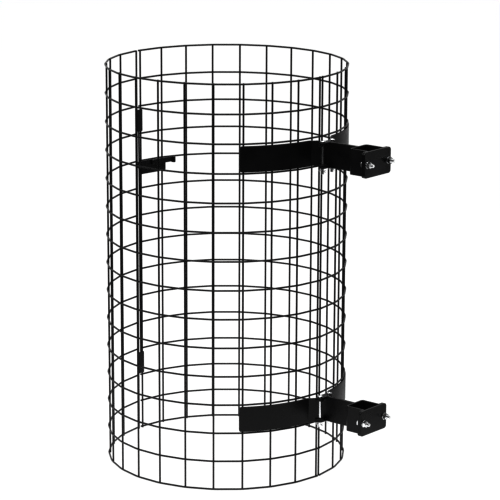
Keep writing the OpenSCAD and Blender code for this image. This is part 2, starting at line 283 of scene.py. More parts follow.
def plate(shape, outline, holes, t, edge, place, lines=(), hole_edge=None):
    """A sheet of thickness t with edges rounded by edge.
    place(u, v, w) puts a point of the flat sheet in space, w from -t/2 to t/2.
    lines are pairs of outline points that the sheet's triangles may not cross, for bends."""
    outline = clean(outline)
    if area(outline) < 0:
        outline = outline[::-1]
    loops = [(outline, edge)]
    for hole in holes:
        hole = clean(hole)
        if area(hole) > 0:
            hole = hole[::-1]
        loops.append((hole, edge if hole_edge is None else hole_edge))

    flat, starts, edges, rims = [], [], [], []
    for loop, soft in loops:
        rim = offset(loop, soft)
        n, s = len(rim), len(flat)
        starts.append(s)
        rims.append(rim)
        flat.extend(rim)
        edges.extend([(s + i, s + (i + 1) % n) for i in range(n)])
    count = len(flat)

    def nearest(q):
        return min(range(len(outline)),
                   key=lambda i: (outline[i][0] - q[0]) ** 2 + (outline[i][1] - q[1]) ** 2)

    for a, b in lines:
        i, j = nearest(a), nearest(b)
        if i != j:
            edges.append((i, j))
    res = delaunay_2d_cdt([Vector(p) for p in flat], edges, [], 0, 1e-7, True)
    pts, tris, origin = res[0], res[2], res[3]
    remap = {}
    for i, sources in enumerate(origin):
        for k in sources:
            remap[i] = k
    # the triangulation must neither add nor merge points
    assert len(pts) == count and len(remap) == count, (len(pts), count)

    caps = []
    for tri in tris:
        tri = [remap[i] for i in tri]
        mid = (sum(flat[i][0] for i in tri) / 3, sum(flat[i][1] for i in tri) / 3)
        if inside(mid, rims[0]) and not any(inside(mid, rim) for rim in rims[1:]):
            caps.append(tri)
    verts = [place(u, v, t / 2) for u, v in flat] + [place(u, v, -t / 2) for u, v in flat]
    faces = [tuple(tri) for tri in caps] + [tuple(i + count for i in tri[::-1]) for tri in caps]

    # rounding of an edge: (inset from the outline, depth below the face), in edge radii
    steps = [(1 - math.sin(PI / 6), 1 - math.cos(PI / 6)),
             (1 - math.sin(PI / 3), 1 - math.cos(PI / 3)), (0, 1)]
    for (loop, soft), s in zip(loops, starts):
        n = len(loop)
        rows = [[s + i for i in range(n)]]
        for side, run in ((1, steps), (-1, steps[::-1])):
            for inset, depth in run:
                rows.append(list(range(len(verts), len(verts) + n)))
                w = side * (t / 2 - soft * depth)
                verts.extend([place(u, v, w) for u, v in offset(loop, soft * inset)])
        rows.append([s + count + i for i in range(n)])
        for a, b in zip(rows[:-1], rows[1:]):
            for i in range(n):
                i2 = (i + 1) % n
                faces.append((a[i], b[i], b[i2], a[i2]))
    return shape.add(verts, faces)


class Path:
    """A flat line of straights and arcs. Radius 0 leaves a corner sharp."""

    def __init__(self, points, radii, n=6):
        pts = [np.array(p, float) for p in points]
        line = [pts[0]]
        for i, r in enumerate(radii, 1):
            line += fillet(pts[i - 1], pts[i], pts[i + 1], r, n) if r > 0 else [pts[i]]
        line = np.array(line + [pts[-1]])
        keep = np.r_[True, np.linalg.norm(np.diff(line, axis=0), axis=1) > 1e-6]
        self.points = line[keep]
        step = np.diff(self.points, axis=0)
        length = np.linalg.norm(step, axis=1)
        self.stations = np.r_[0, np.cumsum(length)]
        t = step / length[:, None]
        tangent = np.vstack([t[:1], t[:-1] + t[1:], t[-1:]])
        self.tangents = tangent / np.linalg.norm(tangent, axis=1)[:, None]
        # at a bend's point the offset grows so that the sheet keeps its thickness
        half_cos = np.sqrt((1 + np.sum(t[:-1] * t[1:], axis=1)) / 2)
        self.grow = np.r_[1, 1 / np.maximum(half_cos, 0.5), 1]

    @property
    def total(self):
        return float(self.stations[-1])

    def normal(self, i):
        return np.array([-self.tangents[i][1], self.tangents[i][0]]) * self.grow[i]

    def at(self, s, w):
        """The point at distance s along the line and w to its left."""
        s = min(max(s, 0.0), self.total)
        known = self.stations
        i = min(int(np.searchsorted(known, s, side="right")) - 1, len(known) - 2)
        i = max(i, 0)
        f = (s - known[i]) / (known[i + 1] - known[i])
        q = self.points[i] * (1 - f) + self.points[i + 1] * f
        q = q + w * (self.normal(i) * (1 - f) + self.normal(i + 1) * f)
        return float(q[0]), float(q[1])


def strip(shape, path, bottom, top, t, edge, holes=(), place=lambda x, y, z: (x, y, z)):
    """A sheet bent along path. bottom and top are the flat sheet's edges from its start
    to its end, as (s, z) points."""

    def with_stations(run):
        out = [run[0]]
        for a, b in zip(run[:-1], run[1:]):
            if b[0] - a[0] > 1e-6:
                for s in path.stations:
                    if a[0] + 1e-3 < s < b[0] - 1e-3:
                        f = (s - a[0]) / (b[0] - a[0])
                        out.append((float(s), a[1] + f * (b[1] - a[1])))
            out.append(b)
        return out

    def clear_of_holes(s):
        return not any(min(q[0] for q in h) - 0.5 < s < max(q[0] for q in h) + 0.5
                       for h in holes)

    low, high = with_stations(bottom), with_stations(top)
    lines = []
    for s in path.stations:
        a = [p for p in low if abs(p[0] - s) < 1e-6]
        b = [p for p in high if abs(p[0] - s) < 1e-6]
        if a and b and clear_of_holes(s):
            lines.append((a[0], b[0]))
    return plate(shape, low + high[::-1], holes, t, edge,
                 lambda u, v, w: place(*path.at(u, w), v), lines)


def rounded_edges(length, z0, z1, r, n):
    """Bottom and top edges of a straight strip with four round corners."""
    bottom = quarter(r, z0 + r, r, 2, 3, n) + quarter(length - r, z0 + r, r, -1, 0, n)
    top = quarter(r, z1 - r, r, 2, 1, n) + quarter(length - r, z1 - r, r, 1, 0, n)
    return bottom, top


def bead(shape, a, b, r, up, ripple, seed, seg=8):
    """A weld bead from a to b with ripples of the given length, and a slight wander."""
    a, b = np.array(a, float), np.array(b, float)
    length = float(np.linalg.norm(b - a))
    n = max(int(length / 0.5), 6)
    rng = np.random.default_rng(1000 + seed)
    side = unit(np.cross(unit(b - a), up))
    drift = np.convolve(rng.normal(0, 1, n + 9), np.ones(9) / 9, "valid")[: n + 1]
    pts, radii = [], []
    for i in range(n + 1):
        f = i / n
        to_end = min(f, 1 - f) * length
        wave = 1 + 0.10 * math.cos(2 * PI * f * length / ripple) + 0.10 * drift[i]
        pts.append(a + (b - a) * f + side * 0.12 * r * drift[i])
        radii.append(r * (0.55 + 0.45 * min(1.0, to_end / r)) * wave)
    return tube(shape, pts, radii, seg, up, cap=min(0.3, r * 0.3))


def nugget(shape, centre, out, along, sizes, seg=8, rows=5):
    """The small cushion of metal where two crossing wires are spot welded."""
    upward = np.array([0, 0, 1.0])
    rings = []
    for j in range(1, rows):
        a = PI * j / rows
        ring = []
        for k in range(seg):
            turn = 2 * PI * k / seg
            across = along * sizes[1] * math.cos(turn) + upward * sizes[2] * math.sin(turn)
            ring.append(centre - out * sizes[0] * math.cos(a) + math.sin(a) * across)
        rings.append(ring)
    return loft(shape, rings)


# ------------------------------------------------------------------ shader kit

def add_node(tree, kind, inputs, **settings):
    """A node with its settings; each input takes a value or is linked from a socket."""
    node = tree.nodes.new(kind)
    for key, value in settings.items():
        setattr(node, key, value)
    for key, value in inputs.items():
        if isinstance(value, bpy.types.NodeSocket):
            tree.links.new(value, node.inputs[key])
        else:
            node.inputs[key].default_value = value
    return node


def new_material(name):
    material = bpy.data.materials.new(name)
    material.use_nodes = True
    material.node_tree.nodes.clear()
    return material, material.node_tree


def coordinates(tree, kind):
    return add_node(tree, "ShaderNodeTexCoord", {}).outputs[kind]


def noise(tree, coord, scale, detail, roughness=0.55):
    return add_node(tree, "ShaderNodeTexNoise", {
        "Scale": scale, "Detail": detail, "Roughness": roughness, "Vector": coord,
    }).outputs["Fac"]


def ramp(tree, value, span, to):
    """Maps the span of values onto the range to."""
    return add_node(tree, "ShaderNodeMapRange", {
        "From Min": span[0], "From Max": span[1], "To Min": to[0], "To Max": to[1],
        "Value": value,
    }).outputs["Result"]


def math_of(tree, operation, a, b):
    return add_node(tree, "ShaderNodeMath", {0: a, 1: b}, operation=operation).outputs[0]


def vector_math(tree, operation, inputs, output):
    node = add_node(tree, "ShaderNodeVectorMath", inputs, operation=operation)
    return node.outputs[output]


def mix_color(tree, factor, a, b):
    # inputs 6 and 7 and output 2 are the mix node's colour sockets
    return add_node(tree, "ShaderNodeMix", {"Factor": factor, 6: a, 7: b},
                    data_type="RGBA").outputs[2]


def bump(tree, height, strength, distance, **under):
    inputs = {"Strength": strength, "Distance": distance, "Height": height, **under}
    return add_node(tree, "ShaderNodeBump", inputs).outputs["Normal"]


def emission(tree, strength):
    return add_node(tree, "ShaderNodeEmission",
                    {"Color": (1, 1, 1, 1), "Strength": strength}).outputs[0]


def camera_switch(tree, lighting, seen):
    """Shows one shader to the camera and another to all other rays."""
    is_camera = add_node(tree, "ShaderNodeLightPath", {}).outputs["Is Camera Ray"]
    return add_node(tree, "ShaderNodeMixShader",
                    {"Fac": is_camera, 1: lighting, 2: seen}).outputs[0]


# ------------------------------------------------------------------ materials

def powder_coat(name, dark, light, rough, peel):
    """Black powder coat: orange peel, cloudy gloss and a painted highlight, in patches, on its
    sharp edges.
    """
    material, tree = new_material(name)
    coord = coordinates(tree, "Object")
    cloud = noise(tree, coord, scale=22, detail=4)
    speck = noise(tree, coord, scale=900, detail=2)
    tint = mix_color(tree, ramp(tree, cloud, span=(0.3, 0.7), to=(0, 1)), dark, light)

    # painted highlight: the mask below lightens the coat's tint on sharp edges, found by
    # pointiness and broken into patches
    pointiness = add_node(tree, "ShaderNodeNewGeometry", {}).outputs["Pointiness"]
    edge = ramp(tree, pointiness, span=(0.53, 0.62), to=(0.0, 0.55))
    patches = noise(tree, coord, scale=160, detail=3)
    patches = ramp(tree, patches, span=(0.45, 0.7), to=(0.0, 1.0))
    edge_highlight = math_of(tree, "MULTIPLY", edge, patches)
    tint = mix_color(tree, edge_highlight, tint, (0.05, 0.05, 0.052, 1))

    roughness = math_of(tree, "ADD", ramp(tree, cloud, span=(0.3, 0.7), to=rough),
                        ramp(tree, speck, span=(0.3, 0.7), to=(-0.03, 0.03)))
    fine = bump(tree, noise(tree, coord, scale=620, detail=2, roughness=0.4),
                strength=peel, distance=0.00012)
    broad = bump(tree, noise(tree, coord, scale=95, detail=2, roughness=0.4),
                 strength=peel * 0.7, distance=0.0004, Normal=fine)
    bsdf = add_node(tree, "ShaderNodeBsdfPrincipled", {
        "Base Color": tint, "Roughness": roughness, "Specular IOR Level": 0.5,
        "Normal": broad,
    })
    add_node(tree, "ShaderNodeOutputMaterial", {"Surface": bsdf.outputs["BSDF"]})
    return material


def zinc_plate(name):
    """Bright zinc plate: fine drawing lines along x and a patchy tint."""
    material, tree = new_material(name)
    coord = coordinates(tree, "Object")
    stretched = add_node(tree, "ShaderNodeMapping",
                         {"Scale": (0.06, 1.0, 1.0), "Vector": coord}).outputs["Vector"]
    lines = noise(tree, stretched, scale=2600, detail=2, roughness=0.6)
    cloud = noise(tree, coord, scale=240, detail=3)
    tint = mix_color(tree, ramp(tree, cloud, span=(0.3, 0.7), to=(0, 1)),
                     (0.62, 0.63, 0.65, 1), (0.82, 0.82, 0.81, 1))
    roughness = math_of(tree, "ADD", ramp(tree, cloud, span=(0.3, 0.7), to=(0.14, 0.24)),
                        ramp(tree, lines, span=(0.3, 0.7), to=(-0.04, 0.06)))
    bsdf = add_node(tree, "ShaderNodeBsdfPrincipled", {
        "Base Color": tint, "Metallic": 1.0, "Roughness": roughness,
        "Normal": bump(tree, lines, strength=0.25, distance=0.00005),
    })
    add_node(tree, "ShaderNodeOutputMaterial", {"Surface": bsdf.outputs["BSDF"]})
    return material


# finishes: (material, slot)
WIRE = (powder_coat("wire_coat", dark=(0.018, 0.018, 0.019, 1), light=(0.027, 0.027, 0.028, 1),
                    rough=(0.24, 0.34), peel=0.30), "coated_wire")
STEEL = (powder_coat("steel_coat", dark=(0.020, 0.020, 0.021, 1), light=(0.030, 0.030, 0.031, 1),
                     rough=(0.26, 0.38), peel=0.35), "coated_steel")
ZINC = (zinc_plate("zinc_plate"), "zinc_hardware")


def piece(name, shape, node, body, finish, weighted=True):
    """Makes the object that stands in for a CAD node and moves with a body."""
    material, slot = finish
    mesh = bpy.data.meshes.new(name)
    mesh.from_pydata([(x * MM, y * MM, z * MM) for x, y, z in shape.verts], [], shape.faces)
    mesh.update()
    mesh.shade_smooth()
    mesh.set_sharp_from_angle(angle=math.radians(38))
    mesh.materials.append(material)
    ob = bpy.data.objects.new(name, mesh)
    bpy.context.scene.collection.objects.link(ob)
    if weighted:
        modifier = ob.modifiers.new("weighted", "WEIGHTED_NORMAL")
        modifier.keep_sharp = True
        modifier.weight = 60
    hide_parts(node)
    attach(ob, body)


def piece_pair(name, shape, node, finish, weighted=True):
    """A piece of the right shell and its mirror image on the left. {} stands for the side."""
    for side, half in (("right", shape), ("left", shape.mirrored())):
        piece(name.format(side), half, node.format(side), side + "_shell", finish, weighted)


# ------------------------------------------------------------------ wires

def hoop_path(z):
    """The hoop bends slightly at every upright it is welded to and is straight between."""
    bend_reach, bend_steps = 9.0, 6
    corners = [polar(hoop_r, upright_angle(i), z) for i in range(cell_count + 1)]
    pts = [corners[0] + unit(corners[0] - corners[1]) * wire_r, corners[0]]
    for a, b, c in zip(corners, corners[1:], corners[2:]):
        u, v = unit(a - b), unit(c - b)
        half = math.acos(float(np.dot(u, v))) / 2
        r = bend_reach * math.tan(half)
        centre = b + unit(u + v) * (r / math.sin(half))
        p0, p1 = b + u * bend_reach, b + v * bend_reach
        for k in range(bend_steps + 1):
            f = k / bend_steps
            pts.append(centre + unit((p0 - centre) * (1 - f) + (p1 - centre) * f) * r)
    pts.append(corners[-1])
    pts.append(corners[-1] + unit(corners[-1] - corners[-2]) * wire_r)
    return pts


def half_hoops():
    s = Shape()
    for k in range(hoop_count):
        tube(s, hoop_path(hoop_z(k)), wire_r)
    for k in range(hoop_count):
        # the welds of the bottom and top hoops are lower
        height = 1.75 if 0 < k < hoop_count - 1 else 1.45
        for i in range(cell_count + 1):
            a = upright_angle(i)
            nugget(s, polar(upright_r + wire_r - 0.1, a, hoop_z(k)), polar(1, a),
                   polar(1, a + 90), (1.0, 1.75, height))
    return s


def half_uprights():
    s = Shape()
    between = [hoop_z(k) + hoop_pitch / 2 for k in range(hoop_count - 1)]
    for i in range(cell_count + 1):
        path = [polar(upright_r, upright_angle(i), z)
                for z in [0, 2] + between + [top_z - 2, top_z]]
        tube(s, path, wire_r, up=(1, 0.3, 0))
    return s


piece_pair("hoop_wires_{}", half_hoops(), "{}_hoop_wires", WIRE, weighted=False)
piece_pair("upright_wires_{}", half_uprights(), "{}_upright_wires", WIRE, weighted=False)


# ------------------------------------------------------------------ bands and ears

# A band follows the shell from far_angle to near_angle, then runs straight to the pin.
far_angle, near_angle = 43.7, 7.5
band_steps = 26
tongue_x = band_r * math.cos(math.radians(near_angle))
tongue_y = band_r * math.sin(math.radians(near_angle))
tongue_len = math.hypot(pin_x - tongue_x, pin_y - tongue_y)
tongue_angle = math.degrees(math.atan2(pin_y - tongue_y, pin_x - tongue_x))
tongue_dir = polar(1, tongue_angle)[:2]
tongue_side = np.array([-tongue_dir[1], tongue_dir[0]])
tongue_half_h = 15.95
ear_tail = 7.65             # from the pin to the ear's square end
ear_z = (15.7 + 18.7) / 2   # mid plane of an ear, from the bracket's middle
band_h = 44


def band_path():
    """From the far end round to the bend, then out along the tongue."""
    pts = [polar(band_r, far_angle + (near_angle - far_angle) * i / band_steps)[:2]
           for i in range(band_steps + 1)]
    end = np.array([tongue_x, tongue_y]) + (tongue_len - 3.1) * tongue_dir
    return Path(pts + [end], [0] * (band_steps - 1) + [3.4], 8)


band_line = band_path()
arc_len = math.radians(far_angle - near_angle) * band_r


def band_edge(z, tongue_z, side):
    """The band's edge at height z, stepping in to the tongue's edge at tongue_z.
    side is 1 for the bottom edge and -1 for the top one."""
    far_r, near_r, inner_r, tip_r = 4.2, 1.0, 0.6, 0.8
    total = band_line.total
    stop = total - 4.3
    step = stop + 0.02
    near_z = z + side * 0.7
    edge = quarter(far_r, z + side * far_r, far_r, 2, 2 + side)
    edge += [(arc_len - 5.0, z), (arc_len - 2.5, z + side * 0.12),
             (arc_len + 1.0, z + side * 0.6), (arc_len + 2.5, near_z)]
    edge += quarter(stop - near_r, near_z + side * near_r, near_r, -side, 0)
    if side * (tongue_z - near_z) > near_r + inner_r + 0.1:
        edge += quarter(step + inner_r, tongue_z - side * inner_r, inner_r, 2, 2 - side, 4)
    return edge + quarter(total - tip_r, tongue_z + side * tip_r, tip_r, -side, 0, 3)


def band(which):
    zc = bracket_z[which]
    z0 = hoop_z(band_hoop[which]) + 2.5
    z1 = z0 + band_h
    s = Shape()
    strip(s, band_line, band_edge(z0, zc - tongue_half_h, 1),
          band_edge(z1, zc + tongue_half_h, -1), sheet_t, 0.45)
    # tack welds to the uprights it lies against
    weld_angle = math.degrees((wire_r * 0.72) / band_inner_r)
    for i in range(1, cell_count):
        a = upright_angle(i)
        if not 9 < a < 42:
            continue
        for side in (-1, 1):
            for z in (z0 + 6, z1 - 14):
                ends = [polar(band_inner_r - 0.35, a + weld_angle * side, q) for q in (z, z + 8)]
                bead(s, *ends, 0.95, -polar(1, a), ripple=1.3, seed=i * 7 + side)
    # welds between the band's end and the ears, along the tongue and up its sides
    pin = np.array([pin_x, pin_y])
    for q in (-1, 1):
        for side in (-1, 1):
            a = pin - tongue_dir * 7.0 + tongue_side * side * 1.6
            b = pin - tongue_dir * 4.0 + tongue_side * side * 1.6
            bead(s, (*a, zc + q * 15.5), (*b, zc + q * 15.5), 0.8, (0, 0, 1),
                 ripple=1.2, seed=3 + side)
            c = pin - tongue_dir * ear_tail + tongue_side * side * 1.55
            bead(s, (*c, zc + q * 16.0), (*c, zc + q * 18.5), 0.75, (*tongue_side, 0),
                 ripple=1.2, seed=5 + side)
    return s


def ears(which):
    """Two flat ears round the pin, with square tails pointing back along the tongue."""
    half_w, tail_r = 5.0, 0.5
    meet = math.degrees(math.atan2(half_w, math.sqrt(ear_r ** 2 - half_w * half_w)))
    outline = quarter(ear_tail - tail_r, -half_w + tail_r, tail_r, -1, 0, 3)
    outline += quarter(ear_tail - tail_r, half_w - tail_r, tail_r, 0, 1, 3)
    outline += arc(0, 0, ear_r, meet, 360 - meet, 26)
    tail = math.radians(tongue_angle + 180)
    cos, sin = math.cos(tail), math.sin(tail)
    s = Shape()
    for q in (-1, 1):
        z = bracket_z[which] + q * ear_z
        plate(s, outline, [circle(0, 0, pin_r + pin_play)], sheet_t, 0.4,
              lambda u, v, w: (pin_x + u * cos - v * sin, pin_y + u * sin + v * cos, z + w),
              hole_edge=0.25)
    return s


for which in bracket_z:
    piece_pair("band_{}_" + which, band(which), "{}_band_" + which, STEEL)
    piece_pair("hinge_ears_{}_" + which, ears(which), "{}_ears_" + which, STEEL)


# ------------------------------------------------------------------ closing seam

# the right shell's upright at the seam
seam_x = -upright_r * math.cos(math.radians(seam_angle))
seam_y = upright_r * math.sin(math.radians(seam_angle))


def cover_strip(z0):
    """A flat strip on the inner side of the two seam uprights, welded to the right one."""
    half_w, height, thickness = seam_y + wire_r, 40, 1.5
    s = Shape()
    outline = rounded([(-half_w, 0), (half_w, 0), (half_w, height), (-half_w, height)], 1.6)
    plate(s, outline, [], thickness, 0.35,
          lambda u, v, w: (seam_x + wire_r + 1.05 + w, u, z0 + v))
    weld_x = seam_x + wire_r + 0.1
    for z in (z0 + 3.5, z0 + 16, z0 + 28.5):
        for side in (-1, 1):
            y = seam_y + side * 0.95
            bead(s, (weld_x, y, z), (weld_x, y, z + 8), 0.55, (1, 0, 0),
                 ripple=1.3, seed=int(z) + side)
    return s


def seam_rod():
    """The rod between the strips, very slightly out of true, tacked at each end."""
    x = seam_x + 0.3 + weld
    low, high = hoop_z(band_hoop["lower"]) + 6, hoop_z(band_hoop["upper"]) + 44
    steps = 24
    path = []
    for i in range(steps + 1):
        f = i / steps
        path.append((x, 1.2 - 2.0 * f - 0.35 * math.sin(2 * PI * f), low + (high - low) * f))
    s = Shape()
    tube(s, path, wire_r, 14, (1, 0, 0))
    for z, y in ((low + 2, 1.2), (low + 24, 1.1), (high - 34, -0.75), (high - 12, -0.8)):
        for side in (-1, 1):
            weld_y = y + side * 1.15
            bead(s, (x + 0.95, weld_y, z), (x + 0.95, weld_y, z + 9), 0.6, (1, 0, 0),
                 ripple=1.3, seed=int(z) + side)
    return s


for which, k in band_hoop.items():
    piece("cover_strip_" + which, cover_strip(hoop_z(k) + 5), "seam_strip_" + which,
          "right_shell", STEEL)
piece("seam_rod_wire", seam_rod(), "seam_rod", "right_shell", WIRE, weighted=False)


# ------------------------------------------------------------------ latch

# The latch sits in the right shell's last cell. Its frame: x out of the cage through the
# middle of that cell, y along the cell towards the seam, z up.
latch_angle = 180 - seam_angle - cell_angle / 2
latch_z = hoop_z(hoop_count - 5) - 4
latch_out = polar(1, latch_angle)
latch_basis = np.array([latch_out, polar(1, latch_angle + 90), [0, 0, 1]]).T
half_cell = math.radians(cell_angle / 2)
cell_half_w = upright_r * math.sin(half_cell)
plate_outer = upright_r * math.cos(half_cell) - wire_r + weld
plate_inner = plate_outer - sheet_t
lever_outer = plate_inner - 0.6
lever_inner = lever_outer - sheet_t
# the left shell's seam upright
keeper_angle = math.radians(cell_angle / 2 + 2 * seam_angle)
keeper_y = upright_r * math.sin(keeper_angle)
keeper_x = upright_r * math.cos(keeper_angle)

lever_half_h = 4.5
rivet_neck_r = 2.0

# rivet heads: (distance, radius), from the lever's inner side and the plate's outer face
RIVET_INNER = [(-1.6, 0.9), (-1.55, 1.6), (-1.35, 2.6), (-0.9, 3.4), (-0.4, 3.75),
               (-0.15, 3.8), (0, 3.65), (0, rivet_neck_r)]
RIVET_OUTER = [(0, 2.5), (0, 3.3), (0.2, 3.4), (0.6, 3.2), (1.0, 2.4), (1.18, 1.4), (1.2, 0.7)]


def in_latch(x, y, z):
    q = latch_basis @ np.array([x, y, z])
    return (q[0], q[1], q[2] + latch_z)


def latch_plate():
    """The plate across the cell, welded to both its uprights."""
    y0, y1 = -cell_half_w - 5, cell_half_w + 2.5
    z0, z1 = -19.5, 4.5
    s = Shape()
    plate(s, rounded([(y0, z0), (y1, z0), (y1, z1), (y0, z1)], 1.6, 4),
          [circle(0, 0, 2.55, 28)], sheet_t, 0.4,
          lambda u, v, w: in_latch(plate_inner + 1.5 + w, u, v))
    for y in (-cell_half_w, cell_half_w):
        for side in (-1, 1):
            # the plate ends too close to the seam for a fourth run of weld
            if y > 0 and side > 0:
                continue
            for z in (-17, -3):
                ends = [in_latch(plate_outer + 0.3, y + side * 1.15, q) for q in (z, z + 6)]
                bead(s, *ends, 0.8, latch_out, ripple=1.2, seed=int(y + 40 + z))
    return s


def latch_rivet():
    profile = shifted(RIVET_INNER, lever_inner - 0.1)
    profile += shifted([(-0.4, rivet_neck_r), (-0.4, 3.5), (-0.3, 3.6), (0, 3.6), (0, 2.5)],
                       plate_inner)
    profile += shifted(RIVET_OUTER, plate_outer)
    return lathe(Shape(), profile, (0, 0, latch_z), latch_basis, 28)


def latch_lever():
    """The lever bar with its rounded nose and the tab folded inwards."""
    nose, end_y, tab = 4.5, -45.0, 6
    tab_foot, tab_r = -6, 1.2
    bar = Path([(nose, 0), (end_y, 0), (end_y, -tab)], [1.9], 7)
    tip = bar.total - tab_r
    angles = [math.radians(a) for a in np.linspace(4, 90, 9)]
    nose_bottom = [(nose - nose * math.cos(a), -nose * math.sin(a)) for a in angles]
    nose_top = [(x, -z) for x, z in nose_bottom]
    bottom = nose_bottom + [(nose + 40.7, -lever_half_h), (nose + 42.8, tab_foot)]
    bottom += quarter(tip, tab_foot + tab_r, tab_r, -1, 0, 4)
    top = nose_top + quarter(tip, lever_half_h - tab_r, tab_r, 1, 0, 4)
    # the path's x is the latch frame's y; its y is the latch frame's x from the lever's middle
    return strip(Shape(), bar, bottom, top, sheet_t, 0.35,
                 [circle(nose, 0, rivet_neck_r + pin_play, 28)],
                 lambda x, y, z: in_latch(lever_inner + 1.5 + y, x, z))


def keeper():
    """A short strip bent into a hook, open at the top, welded to the left seam upright."""
    outer = keeper_x - wire_r + weld
    thickness = outer - lever_outer - 0.6
    foot = -lever_half_h - 3.1
    back, front = outer - thickness / 2, lever_inner - 0.6 - thickness / 2
    mid_foot = foot + 1.6
    hook = Path([(back, foot + 11.6), (back, mid_foot), (front, mid_foot), (front, foot + 8.6)],
                [1.7, 1.7], 7)
    bottom, top = rounded_edges(hook.total, -2.5, 2.5, 1.1, 4)
    s = Shape()
    strip(s, hook, bottom, top, thickness, 0.3, (),
          lambda x, z, v: in_latch(x, keeper_y + v, z))
    for side in (-1, 1):
        ends = [in_latch(outer + 0.1, keeper_y + side * 1.0, foot + h) for h in (3.0, 10.6)]
        bead(s, *ends, 0.6, latch_out, ripple=1.3, seed=51 + side)
    return s


piece("latch_strip", latch_plate(), "latch_plate", "right_shell", STEEL)
piece("latch_pivot", latch_rivet(), "latch_rivet", "right_shell", STEEL)
piece("latch_bar", latch_lever(), "latch_lever", "latch", STEEL)
piece("keeper_hook", keeper(), "latch_keeper", "left_shell", STEEL)


# ------------------------------------------------------------------ brackets

arm_x0 = hoop_r + wire_r + 3
arm_t = 5.0
lug_x1 = pin_x + ear_r + 0.5
lug_z = bracket_half_h - sheet_t / 2
saddle_x = 285.5            # inner face of the saddle's back
saddle_half_w = 23.0
flange_x = 324.0            # where the saddle's flanges meet the clamp plate
flange_inner = flange_x - sheet_t
clamp_t = 4
clamp_x = flange_x + clamp_t
clamp_half_w = 71.0 / 2
bolt_y = 28.4
bolt_hole_r = 3.3
bolt_end = flange_inner + 20
washer_t = 1.6
hex_flats = 10
turned_r = hex_flats / 2 * 0.955    # where the chamfer of a hexagon starts
hex_slope = math.tan(math.radians(30))

# (height above the upper lug, radius)
PIN_HEAD = [(0, pin_r), (0, 4.3), (0.15, 4.45), (0.4, 4.5), (1.4, 4.5), (1.9, 4.35),
            (2.4, 3.95), (2.8, 3.3), (3.05, 2.4), (3.17, 1.3), (3.19, 0.5)]
# (distance from the clamp plate, radius), a closed section
WASHER = [(0, 5.85), (0.15, 6.0), (1.35, 6.0), (washer_t, 5.8), (washer_t, 3.3), (1.5, 3.2),
          (0.1, 3.2), (0, 3.3)]
# split pin's upper leg from its tip to the eye, and the lower one back: (x from the pin, z)
COTTER_UPPER = [(6.3, 1.75), (5.2, 1.25), (4.2, 0.75), (3.4, 0.52), (2.6, 0.47), (-3.6, 0.47),
                (-4.3, 0.62)]
COTTER_LOWER = [(-4.3, -0.62), (-3.6, -0.47), (2.6, -0.47), (3.4, -0.52), (4.2, -0.75),
                (5.0, -1.15), (5.7, -1.6)]


def arm(zc):
    """The upright plate from the lugs to the saddle, with its welds."""
    low = bracket_half_h - sheet_t + weld
    high = bracket_half_h
    pts = [(arm_x0, -low), (lug_x1, -low), (lug_x1, -high), (saddle_x + 0.2, -high),
           (saddle_x + 0.2, high), (lug_x1, high), (lug_x1, low), (arm_x0, low)]
    s = Shape()
    plate(s, rounded(pts, [1.2, 0.6, 1.0, 0.8, 0.8, 1.0, 0.6, 1.2], 3), [], arm_t, 0.4,
          lambda u, v, w: (u, w, zc + v))
    for side in (-1, 1):
        x, y = saddle_x - 0.3, side * 2.9
        bead(s, (x, y, zc - 20.5), (x, y, zc + 20.5), 1.9, (1, 0, 0),
             ripple=2.1, seed=11 + side, seg=10)
        for q in (-1, 1):
            y, z = side * 2.8, zc + q * 18.7
            bead(s, (216.5, y, z), (227.5, y, z), 1.2, (0, 0, 1),
                 ripple=1.7, seed=31 + side + q)
    return s


def lugs(zc):
    """The two flat lugs that hold both pins."""
    outline = arc(0, pin_y, ear_r, 0, 180, 20) + arc(0, -pin_y, ear_r, 180, 360, 20)
    holes = [circle(0, y, pin_r + pin_play) for y in (-pin_y, pin_y)]
    s = Shape()
    for q in (-1, 1):
        plate(s, outline, holes, sheet_t, 0.4,
              lambda u, v, w: (pin_x + u, v, zc + q * lug_z + w), hole_edge=0.25)
    return s


def saddle(zc):
    """A strip bent round three sides of the stake, with a bolted flange at each side."""
    half_t = sheet_t / 2
    flange, wall, back = flange_x - half_t, saddle_half_w - half_t, saddle_x + half_t
    path = Path([(flange, -clamp_half_w), (flange, -wall), (back, -wall),
                 (back, wall), (flange, wall), (flange, clamp_half_w)], [2.2, 3.5, 3.5, 2.2], 7)
    bottom, top = rounded_edges(path.total, zc - bracket_half_h, zc + bracket_half_h, 5.0, 7)
    inset = clamp_half_w - bolt_y
    holes = [circle(s, zc, bolt_hole_r) for s in (inset, path.total - inset)]
    return strip(Shape(), path, bottom, top, sheet_t, 0.45, holes)


def pins(zc):
    s = Shape()
    foot = zc - bracket_half_h - 10.5
    profile = [(foot, 1.5), (foot + 0.1, 1.9), (foot + 0.8, pin_r)]
    profile += shifted(PIN_HEAD, zc + bracket_half_h)
    for y in (-pin_y, pin_y):
        lathe(s, profile, (pin_x, y, 0), ALONG_Z, 32)
    return s


def cotters(zc):
    """Split pins: two legs from one eye, with their ends spread."""
    eye = [(-6.1 + 1.75 * math.cos(math.radians(a)), 1.75 * math.sin(math.radians(a)))
           for a in np.linspace(28, 332, 22)]
    z = zc - bracket_half_h - 5
    s = Shape()
    for y in (-pin_y, pin_y):
        path = [(pin_x + a, y, z + b) for a, b in COTTER_UPPER + eye + COTTER_LOWER]
        tube(s, path, 0.47, 8, (0, 1, 0), cap=0.15, flat=1.5)
    return s


def hex_ring(y, z, x, radius=None, inset=0.0, slope=0.0):
    """A ring round (y, z): a circle, or without a radius a hexagon with flats facing y.
    slope pushes its corners along x, for the turned chamfer."""
    ring = []
    for k in range(48):
        a = 2 * PI * k / 48
        reach = hex_flats / 2 / math.cos(((a + PI / 6) % (PI / 3)) - PI / 6)
        r = reach - inset if radius is None else radius
        ring.append((x + slope * (reach - turned_r), y + r * math.cos(a), z + r * math.sin(a)))
    return ring


